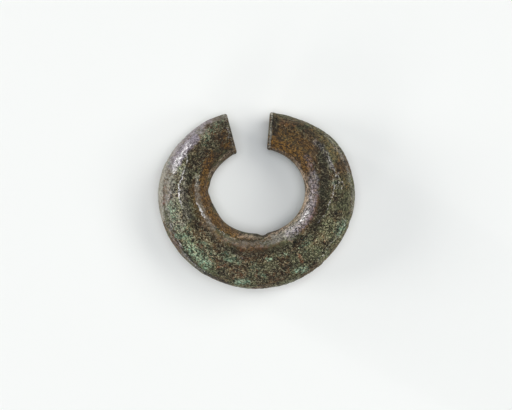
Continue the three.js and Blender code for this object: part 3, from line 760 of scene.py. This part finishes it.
# How the marks are laid on. Sizes are in millimetres, and a height is -1 at the rest and 1 at the front.
laying = {
    "strokeEdge": (1.7, 0.3),  # where a stroke begins and is full, as parts of half its width
    # how often in a millimetre a noise moves a mark, the noise's layer, and how far it moves the mark
    "wanders": [(1.6, 0.0, 0.22), (4.5, 7.0, 0.12)],
    "steepWander": (1.6, 1.6),  # the noise's size, and how far
    "steepHeights": (-0.4, 0.1),
    "sideWander": (2.2, 0.4),  # the noise's size, and how far in height
    "sideHeights": (-0.25, 0.12),
    "discEdge": (0.1, 0.4),
    "patchFade": 0.25,
    "patchesApart": 20.0,
    # where wear polished the ring, and how much: the roll and the hem as shares across, the hem's duller
    # stretch as shares along, and the underside as a height
    "roll": (0.22, 0.34, 0.75),
    "hem": (0.86, 0.92, 0.65),
    "hemLowerRight": (0.2, 0.3, 0.55, 0.62, 0.5),
    "underside": (0.8, 0.95, 0.4, 0.4),
    "endFade": 0.006,  # as a share along the ring
}


def awayFrom(line, plan):
    # each place's distance from a line through points
    nearest = np.linalg.norm(plan - line[0], axis=1)
    for start, end in zip(np.array(line[:-1]), np.array(line[1:])):
        run = end - start
        share = np.clip((plan - start) @ run / (run @ run), 0, 1)
        nearest = np.minimum(nearest, np.linalg.norm(plan - start - share[:, None] * run, axis=1))
    return nearest


def paintStrokes(mesh):
    places = np.empty(len(mesh.vertices) * 3, np.float32)
    mesh.vertices.foreach_get("co", places)
    places = places.reshape(-1, 3) / mm
    along, across, height, under = (values(mesh, name) for name in ("along", "across", "height", "under"))
    # real marks wander, so each place is looked up a little beside itself
    plan = places[:, :2]
    for often, layer, far in laying["wanders"]:
        wander = [noise.noise_vector((x * often, y * often, layer))[:2] for x, y in places[:, :2]]
        plan = plan + far * np.array(wander)
    # and on the steep sides more so, because seen from above a mark there has no height
    size, far = laying["steepWander"]
    steep = np.array([noise.noise_vector(place / size)[:2] for place in places])
    plan = plan + far * steep * smooth(-height, *laying["steepHeights"])[:, None]
    # the front's marks end unevenly on the sides, and at the edge of a disc
    size, far = laying["sideWander"]
    broad = np.array([noise.noise(place) for place in places / size])
    onFront = smooth(height + far * broad, *laying["sideHeights"])
    onFront = onFront * (1 - smooth(under / mm, *laying["discEdge"]))
    for order, (name, lines) in enumerate(strokes.items()):
        total = np.zeros(len(plan))
        for line, half, strength in lines:
            covered = smooth(awayFrom(line, plan) / half, *laying["strokeEdge"])
            total = np.maximum(total, strength * covered)
        if name == "polished":
            # the roll beside the bore and the hem round the rim are rubbed smooth all round
            begins, ends, full = laying["roll"]
            roll = full * (1 - smooth(across, begins, ends))
            begins, rises, falls, ends, less = laying["hemLowerRight"]
            lowerRight = smooth(along, begins, rises) * (1 - smooth(along, falls, ends))
            begins, ends, full = laying["hem"]
            hem = (full - less * lowerRight) * smooth(across, begins, ends)
            total = np.maximum(total, np.maximum(roll, hem))
            begins, ends, least, more = laying["underside"]
            elsewhere = least + more * smooth(-height, begins, ends)
        elif name in patches:
            size, begins, strength = patches[name]
            apart = laying["patchesApart"] * (order + 1)
            found = np.array([noise.noise(place) for place in places / size + apart])
            elsewhere = strength * smooth(found, begins, begins + laying["patchFade"])
        else:
            elsewhere = 1.0 if name == "calm" else 0.0
        paint(mesh, name, total * onFront + elsewhere * (1 - onFront))


def paintEnds(mesh):
    # the ends keep their full outline, up to the discs
    along = values(mesh, "along")
    ends = smooth(np.minimum(along, 1 - along), 0.0, laying["endFade"])
    paint(mesh, "exposed", values(mesh, "exposed") * ends)


def plainMesh(name, stations, turns, section, extra, material, wear):
    # the swept form of a piece, closed, painted and then corroded
    guide = sectionGuide(section)
    holder = stationGuide(stations, *turns, **extra)
    mesh = applied(holder, sweep, {"Section": guide, "Material": material}, name)
    bpy.data.objects.remove(guide)
    capped(mesh)
    paintStrokes(mesh)
    paintEnds(mesh)
    mesh = applied(inScene("holder", mesh), corrosion, {"Material": material, **wear}, name)
    mesh.polygons.foreach_set("use_smooth", np.ones(len(mesh.polygons), bool))
    mesh.set_sharp_from_angle(angle=math.radians(sweeping["sharpFrom"]))
    return mesh


def placed(name, mesh, node):
    piece = inScene(name, mesh)
    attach(piece, "root")
    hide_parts(node)
    print(name, "has", sum(len(face.vertices) - 2 for face in mesh.polygons), "triangles")


def weighted(add, source, parts):
    # the sum of several values, each times its weight
    total = 0.0
    for key, weight in parts.items():
        total = add("ShaderNodeMath", (source[key], weight, total), operation="MULTIPLY_ADD")[0]
    return total


# What one unit of the sweep's own shares measures in millimetres: round the ring, across the body, and from
# its widest line up to the front
spans = {"along": 62, "across": 8, "height": 3.5}


def coated(name, look):
    # a ground colour with layers over it, each shown where its mix of noises and painted patches is high
    material = bpy.data.materials.new(name)
    material.use_nodes = True
    material.node_tree.nodes.clear()
    add = partial(addNode, material.node_tree)
    place = add("ShaderNodeTexCoord")["Object"]
    source = {}
    for label, row in look["noises"].items():
        source[label] = add("ShaderNodeTexNoise", marked(place, *row))[0]
    for label, (size, bend) in look.get("grains", {}).items():
        wobble = add("ShaderNodeTexNoise", marked(place, size))["Color"]
        wobble = add("ShaderNodeVectorMath", {0: wobble, "Scale": bend * mm}, operation="SCALE")[0]
        bent = add("ShaderNodeVectorMath", (place, wobble), operation="ADD")[0]
        cells = add("ShaderNodeTexVoronoi", {"Vector": bent, "Scale": 1 / (size * mm)})["Color"]
        parts = add("ShaderNodeSeparateXYZ", (cells,))
        for kind, part in zip(("tone", "mix", "kind"), parts):
            source[label + " " + kind] = part
    for label in look.get("painted", ()):
        source[label] = add("ShaderNodeAttribute", attribute_name=label)["Fac"]
    for label in look.get("veins", ()):
        # a vein runs where its noise is a half
        line = add("ShaderNodeMath", (source[label], 0.5), operation="SUBTRACT")[0]
        source[label] = add("ShaderNodeMath", (line,), operation="ABSOLUTE")[0]
    for label, (length, width) in look.get("streaks", {}).items():
        # follows the ring round, so it reads the sweep's own shares
        run = []
        for share, reach in (("along", length), ("across", width), ("height", width)):
            at = add("ShaderNodeAttribute", attribute_name=share)["Fac"]
            run.append(add("ShaderNodeMath", (at, spans[share] / reach), operation="MULTIPLY")[0])
        run = add("ShaderNodeCombineXYZ", run)[0]
        source[label] = add("ShaderNodeTexNoise", {
            "Vector": run, "Scale": 1.0, "Detail": 2.0, "Distortion": 0.8,
        })[0]
    colour, roughness = fromHex(look["ground"]), look["roughness"]
    for label, code, layerRoughness, parts, low, high, amount in look["layers"]:
        cover = add("ShaderNodeMapRange", (weighted(add, source, parts), low, high, 0.0, amount),
                    interpolation_type="SMOOTHSTEP", label=label)[0]
        colour = add("ShaderNodeMix", {0: cover, 6: colour, 7: fromHex(code)}, data_type="RGBA")[2]
        roughness = add("ShaderNodeMix", {0: cover, 2: roughness, 3: layerRoughness})[0]
    height = weighted(add, source, look["bumps"])
    if "mottle" in look:
        # fine grains are darker or lighter than their surroundings, less so in the powdery green
        mottle = look["mottle"]
        tone = add("ShaderNodeMapRange",
                   (weighted(add, source, mottle["parts"]), *mottle["range"], *mottle["tones"]))[0]
        even = add("ShaderNodeMapRange",
                   (source["verdigris"], *mottle["powderRange"], 0.0, mottle["powder"]))[0]
        even = add("ShaderNodeMath", (source["calm"], mottle["calm"], even), operation="MULTIPLY_ADD")[0]
        tone = add("ShaderNodeMix", {0: even, 2: tone, 3: mottle["evenTone"]})[0]
        # grime and painted shade dim the colour
        dimmed = add("ShaderNodeMath", (source["grime"], -mottle["grime"], 1.0),
                     operation="MULTIPLY_ADD")[0]
        tone = add("ShaderNodeMath", (tone, dimmed), operation="MULTIPLY")[0]
        colour = add("ShaderNodeVectorMath", {0: colour, "Scale": tone}, operation="SCALE")[0]
        # and wear left the bumps lower
        rough = add("ShaderNodeMapRange", (source["polished"], 0.0, 1.0, 1.0, look["polishedBump"]))[0]
        height = add("ShaderNodeMath", (height, rough), operation="MULTIPLY")[0]
    normal = add("ShaderNodeBump", {"Height": height, "Distance": look["bumpDepth"] * mm})["Normal"]
    shader = add("ShaderNodeBsdfPrincipled", {
        "Base Color": colour, "Roughness": roughness, "Metallic": look["metallic"],
        "Specular IOR Level": look["specular"], "Normal": normal,
    })[0]
    add("ShaderNodeOutputMaterial", (shader,))
    return material


# Ancient hammered bronze under a corroded skin: brown tenorite over the metal, tan and olive grains in it,
# green verdigris and red cuprite patches, a grey waxy film where handling wore it smooth. Painted sheen,
# highlights and light lie in the film, the pale marks, the dust and the rubbed strip, and painted shade in
# the soot, the grime and the darker hollows
patina = {
    # sizes are in millimetres: the size, the detail, how rough and how curled
    "noises": {
        "broad": (3.0, 3.0, 0.5, 0.0),
        "middling": (1.1, 4.0, 0.6, 0.5),
        "grain": (0.46, 3.0, 0.6, 0.8),
        "speck": (0.18, 2.0, 0.6, 1.4),  # real specks are half as wide, drawn coarser so that they show
        "scale edge": (0.95, 2.0, 0.5, 0.8),
        "fine edge": (0.5, 2.0, 0.5, 0.7),
    },
    "veins": ("scale edge", "fine edge"),
    "grains": {"fleck": (0.21, 0.25)},  # the size, and how far its sides are bent
    "streaks": {"rub": (3.5, 0.3), "flow": (0.5, 0.18), "furrow": (2.6, 0.7)},  # the length and the width
    "painted": ("relief", *strokes),
    "ground": "#3a3123",
    "roughness": 0.7,
    # each layer's colour and roughness, what it follows, from where to where it comes in, and how much
    "layers": [
        ("mid brown", "#5e4b34", 0.68, {"middling": 0.5, "furrow": 0.5}, 0.43, 0.58, 0.9),
        ("olive tarnish", "#53573f", 0.7, {"broad": 1.0, "grain": 0.4}, 0.62, 0.8, 0.8),
        ("rub streaks", "#756e5a", 0.42, {"rub": 1.0, "polished": 0.5}, 0.85, 1.2, 0.45),
        ("dark grains", "#21180c", 0.72, {"fleck mix": 0.5, "grain": -0.8, "polished": -0.25},
         -0.06, 0.1, 0.8),
        ("rust grains", "#6e452d", 0.66, {"fleck kind": 0.5, "broad": -0.8, "polished": -0.3},
         0.04, 0.18, 0.4),
        ("golden brown", "#4b3312", 0.5, {"goldBrown": 0.7, "grain": 0.6}, 0.5, 0.9, 0.85),
        ("gold grains", "#83602a", 0.38, {"goldBrown": 0.4, "fleck tone": 0.4, "flow": 0.8},
         0.9, 1.2, 0.6),
        ("tan grains", "#a39879", 0.62, {
            "fleck tone": 0.3, "grain": 0.5, "speck": 0.5, "polished": -0.2, "grime": -0.1, "calm": -0.12,
        }, 0.8, 0.94, 0.35),
        ("green grey grains", "#83906c", 0.72, {
            "fleck kind": 0.3, "broad": 0.6, "speck": 0.5, "polished": -0.3, "grime": -0.1, "calm": -0.1,
        }, 0.76, 0.92, 0.5),
        # dust: a dusty film and painted light
        ("dust and painted light", "#a5a39a", 0.6, {"dusting": 0.6, "grain": 0.7}, 0.6, 1.15, 0.6),
        # grey film: partly a waxy film, partly painted sheen
        ("grey film and painted sheen", "#8a8290", 0.27, {"greyFilm": 0.6, "grain": 0.8, "rub": 0.3}, 0.8, 1.3, 0.7),
        # rubbed strip: wear and painted light
        ("rubbed strip", "#a3907c", 0.42, {"rubbed": 0.7, "grain": 0.5, "speck": 0.4}, 0.9, 1.3, 0.75),
        ("cuprite", "#73402a", 0.66, {"cuprite": 0.5, "grain": 0.7, "fleck kind": 0.2}, 0.9, 1.1, 0.7),
        ("dull verdigris", "#5b735f", 0.82, {
            "verdigris": 0.5, "fleck mix": 0.25, "grain": 0.6, "middling": 0.6,
        }, 1.0, 1.18, 0.75),
        ("bright verdigris", "#97b59c", 0.88, {"verdigris": 0.5, "fleck tone": 0.3, "speck": 0.8},
         1.08, 1.24, 0.8),
        ("turquoise", "#5cc6a2", 0.88, {"verdigris": 0.5, "grain": 0.5}, 1.12, 1.22, 0.85),
        # soot: dark dirt and painted shade
        ("soot", "#17120c", 0.66, {"soot": 0.6, "grain": 0.6}, 0.5, 1.0, 0.8),
        ("cracks", "#1c1207", 0.72, {"scale edge": -1.0, "polished": -0.04, "grain": -0.03},
         -0.044, -0.014, 0.85),
        # darker where the decay ate deeper
        ("darker in the hollows", "#1e1408", 0.75, {"relief": 0.7, "grain": -0.4}, 0.1, 0.32, 0.8),
        ("scale rims", "#b2ad8e", 0.62, {
            "fine edge": -1.0, "polished": -0.05, "speck": 0.08, "verdigris": 0.014,
        }, 0.016, 0.032, 0.55),
        # pale scale: pale chips and painted glints
        ("pale scale and painted glints", "#d9d7d8", 0.36, {"pale": 0.6, "speck": 0.7, "flow": 0.4}, 1.02, 1.28, 0.9),
    ],
    # the grains' darkest and lightest tone, how far powdery green and the calm places take it back, and how
    # far grime and painted shade dim it
    "mottle": {
        "parts": {"fleck tone": 0.2, "speck": 0.4, "flow": 0.4},
        "range": (0.41, 0.59),
        "tones": (0.15, 2.3),
        "evenTone": 1.1,
        "powderRange": (0.5, 1.0),
        "powder": 0.22,
        "calm": 0.45,
        "grime": 0.42,
    },
    "bumps": {
        "grain": 0.6, "speck": 0.6, "flow": 0.4, "middling": 1.2, "scale edge": 2.0, "fine edge": -1.4,
        "pale": 0.15,
    },
    "bumpDepth": 0.2,
    "polishedBump": 0.5,
    "metallic": 0.0,
    "specular": 0.22,
}

# Hammered bronze on the side that the ring lies on: the same skin on a lighter, warmer brown
backPatina = {**patina, "ground": "#463a2a"}

# Bronze sheet cut for the terminals: the same skin, browner still and a little shinier
discPatina = {**patina, "ground": "#4a3b29", "specular": 0.25}

# Sand-cast bronze bar, never polished: dark brown, dull and grainy
castBronze = {
    "noises": {"broad": (2.2, 3.0, 0.6, 0.0), "grain": (0.4, 4.0, 0.6, 0.0)},
    "ground": "#33271b",
    "roughness": 0.7,
    "layers": [
        ("brown skin", "#4a3826", 0.65, {"broad": 1.0}, 0.4, 0.6, 0.8),
        ("dark pits", "#1d1610", 0.8, {"grain": -1.0}, -0.45, -0.35, 0.8),
    ],
    "bumps": {"broad": 0.5, "grain": 0.5},
    "bumpDepth": 0.1,
    "metallic": 0.4,
    "specular": 0.4,
}

sweep = sweepTree(outerLineTree(), hammeringTree())
corrosion = corrosionTree()

sheets = {
    "stations": 560,
    "thickness": 0.4,
    "seam": 0.025,  # between the hem and the front sheet
    "tuck": 0.7,
    "boreSeam": 0.0064,  # half the seam at the bore, as a turn in radians
    "edge": 0.03,  # how far an edge is rounded over
    "shoulder": 0.3,  # what is left of that where the outer face begins
    "edgeShown": 0.2,  # how much of the decay reaches it
    "edgeDepth": 0.3,  # how far its narrow face goes down
    # as shares of the turn: where an edge's shoulder lies, and the first, last and number of the outer and
    # the inner face's points
    "front": (0.003, (0.01, 0.99, 100), (0.99, 0.07, 24)),
    "back": (0.002, (0.007, 0.992, 116), (0.99, 0.01, 28)),
    "stepDown": 0.056,  # where the front sheet has stepped down under the hem
}

stations = stationsAt(np.linspace(0, 1, sheets["stations"]))
power = 2 / ring["squareness"]
hemCos, hemSin = np.cos(stations["hemTurn"]), np.sin(stations["hemTurn"])
speed = power / 2 * np.hypot(
    stations["width"] * hemCos ** (power - 1) * hemSin,
    stations["depth"] * hemSin ** (power - 1) * hemCos,
)  # millimetres along the outer line for each radian at the hem


def sheetLoop(shoulder, outer, inner):
    # over the outer face and its two rounded edges, then back along the inner face
    fall, edge, deep, shown = sheets["shoulder"], sheets["edge"], sheets["edgeDepth"], sheets["edgeShown"]
    return [
        (0.0, deep, 0.0),
        (0.0, edge, shown),
        (shoulder, fall * edge, 1.0),
        *[(where, 0.0, 1.0) for where in np.linspace(*outer)],
        (1 - shoulder, fall * edge, 1.0),
        (1.0, edge, shown),
        (1.0, deep, 0.0),
        *[(where, sheets["thickness"], 0.0) for where in np.linspace(*inner)],
    ]


# the front sheet's margin lies a sheet and the clearance deeper, and shares below 0 run back under the hem
under = sheets["thickness"] + ring["clearance"]
inner = sheets["thickness"] + under
margin = [
    (sheets["stepDown"], inner, 0.0), (-0.5, inner, 0.0), (-1.0, inner, 0.0), (-1.0, under, 0.0),
    (-0.5, under, 0.0),
]

frontTurns = (
    stations["hemTurn"] + sheets["seam"] / speed,
    math.pi - sheets["boreSeam"],
    stations["hemTurn"] - sheets["tuck"] / speed,
)
backTurns = (math.pi + sheets["boreSeam"], stations["hemTurn"] + 2 * math.pi)
frontSkin = coated("tenorite brown patina on hammered bronze", patina)
backSkin = coated("worn brown patina on hammered bronze", backPatina)
for name, turns, loop, skin in (
    ("front_sheet", frontTurns, sheetLoop(*sheets["front"]) + margin, frontSkin),
    ("back_sheet", backTurns, sheetLoop(*sheets["back"]), backSkin),
):
    mesh = plainMesh(name + "_dressed", stations, turns, loop, {}, skin, {})
    placed(name + "_dressed", mesh, name)

discs = {
    "wear": {
        "Unevenness": 0.02, "Lumps": 0.04, "Flakes": 0.03, "Crust": 0.02, "Cracks": 0.02, "Pits": 0.03,
    },
    "steps": 150,
    # from the middle of the inner face over the rounded edge to the middle of the outer face:
    # how far out from the sheets' ends, and how far in from the outer line
    "rows": [
        (0.02, 1.9), (0.02, 1.2), (0.02, 0.6), (0.02, 0.12), (0.03, 0.03), (0.06, 0.0), (0.16, 0.0),
        (0.26, 0.02), (0.35, 0.06), (0.42, 0.12), (0.46, 0.19), (0.48, 0.27), (0.48, 0.36), (0.48, 0.47),
        (0.48, 0.6), (0.48, 0.76), (0.48, 0.93), (0.48, 1.12), (0.48, 1.32), (0.48, 1.52), (0.48, 1.72),
        (0.48, 1.9),
    ],
}
discLoop = [(where, 0.0, 1.0) for where in np.linspace(0, 1, discs["steps"], endpoint=False)]
discSkin = coated("rubbed brown patina on bronze disc", discPatina)
discWear = {label: depth * mm for label, depth in discs["wear"].items()}
for name, share, side in (("right_end_disc", 0.0, 1), ("left_end_disc", 1.0, -1)):
    out, lifted = np.array(discs["rows"]).T
    rows = stationsAt(np.full(len(out), share))
    extra = {"lifted": lifted, "moved": out * side}
    mesh = plainMesh(name + "_dressed", rows, (0.0, 2 * math.pi), discLoop, extra, discSkin, discWear)
    placed(name + "_dressed", mesh, name)

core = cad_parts["core_bar"]
core.data.materials.clear()
core.data.materials.append(coated("dark cast bronze", castBronze))
print("pieces made")

stage = {
    "floor": "#f7f9f8",
    "floorHalf": 900.0,
    "floorDrop": 0.02,
    "sky": 0.05,  # what the even light gives the floor, of 1 in all
    # the light from above is a little cooler than that from the sides, so that shadows are faintly blue
    "cool": "#f7fafe",
    "warm": "#fffcf7",
    "lampDistance": 300.0,
    # each lamp's azimuth, elevation and width in degrees, its part of the floor's light and its tint
    "lamps": {
        "overhead softbox": (0, 89, 44, 0.47, "cool"),
        "right softbox": (30, 42, 34, 0.2, "warm"),
        "lower right reflector": (-15, 32, 24, 0.08, "warm"),
        "left softbox": (180, 19, 24, 0.12, "warm"),
        "left front reflector": (240, 16, 18, 0.04, "warm"),
        "left back reflector": (150, 16, 18, 0.03, "warm"),
        "low window": (150, 9, 2, 0.02, "warm"),
    },
}

mesh = bpy.data.meshes.new("floor")
far, drop = stage["floorHalf"] * mm, stage["floorDrop"] * mm
corners = [(x * far, y * far, -drop) for x, y in ((-1, -1), (1, -1), (1, 1), (-1, 1))]
mesh.from_pydata(corners, [], [(0, 1, 2, 3)])
paper = bpy.data.materials.new("matt white paper")
paper.use_nodes = True
surface = {"Base Color": fromHex(stage["floor"]), "Roughness": 1.0, "Specular IOR Level": 0.0}
for label, value in surface.items():
    paper.node_tree.nodes["Principled BSDF"].inputs[label].default_value = value
mesh.materials.append(paper)
inScene("floor", mesh)

for name, (azimuth, elevation, width, part, tint) in stage["lamps"].items():
    turn, lift = math.radians(azimuth), math.radians(elevation)
    lamp = bpy.data.lights.new(name, "SUN")
    lamp.color = fromHex(stage[tint])[:3]
    lamp.energy = part * math.pi / math.sin(lift) / lamp.color[1]
    lamp.angle = math.radians(width)
    light = inScene(name, lamp)
    flat = math.cos(lift)
    toLight = Vector((math.cos(turn) * flat, math.sin(turn) * flat, math.sin(lift)))
    light.rotation_euler = toLight.to_track_quat("Z", "Y").to_euler()
    light.location = toLight * stage["lampDistance"] * mm

world = bpy.data.worlds.new("pale room")
bpy.context.scene.world = world
world.use_nodes = True
world.node_tree.nodes.clear()
add = partial(addNode, world.node_tree)
ray = add("ShaderNodeLightPath")
seen = add("ShaderNodeMath", (ray["Is Camera Ray"], ray["Is Glossy Ray"]), operation="MAXIMUM")[0]
seen = add("ShaderNodeMath", (seen, ray["Is Transmission Ray"]), operation="MAXIMUM")[0]
even = add("ShaderNodeBackground", (fromHex(stage["cool"]), stage["sky"]))[0]
white = add("ShaderNodeBackground", ((1.0, 1.0, 1.0, 1.0), 1.0))[0]
add("ShaderNodeOutputWorld", (add("ShaderNodeMixShader", (seen, even, white))[0],))

view = {"lens": 100.0, "height": 212.4, "middle": (-0.07, -0.66)}
eye = bpy.data.cameras.new("camera")
eye.lens = view["lens"]
camera = inScene("camera", eye)
camera.location = (view["middle"][0] * mm, view["middle"][1] * mm, view["height"] * mm)
bpy.context.scene.camera = camera
bpy.context.scene.view_settings.view_transform = "Standard"
print("stage lit and camera placed")
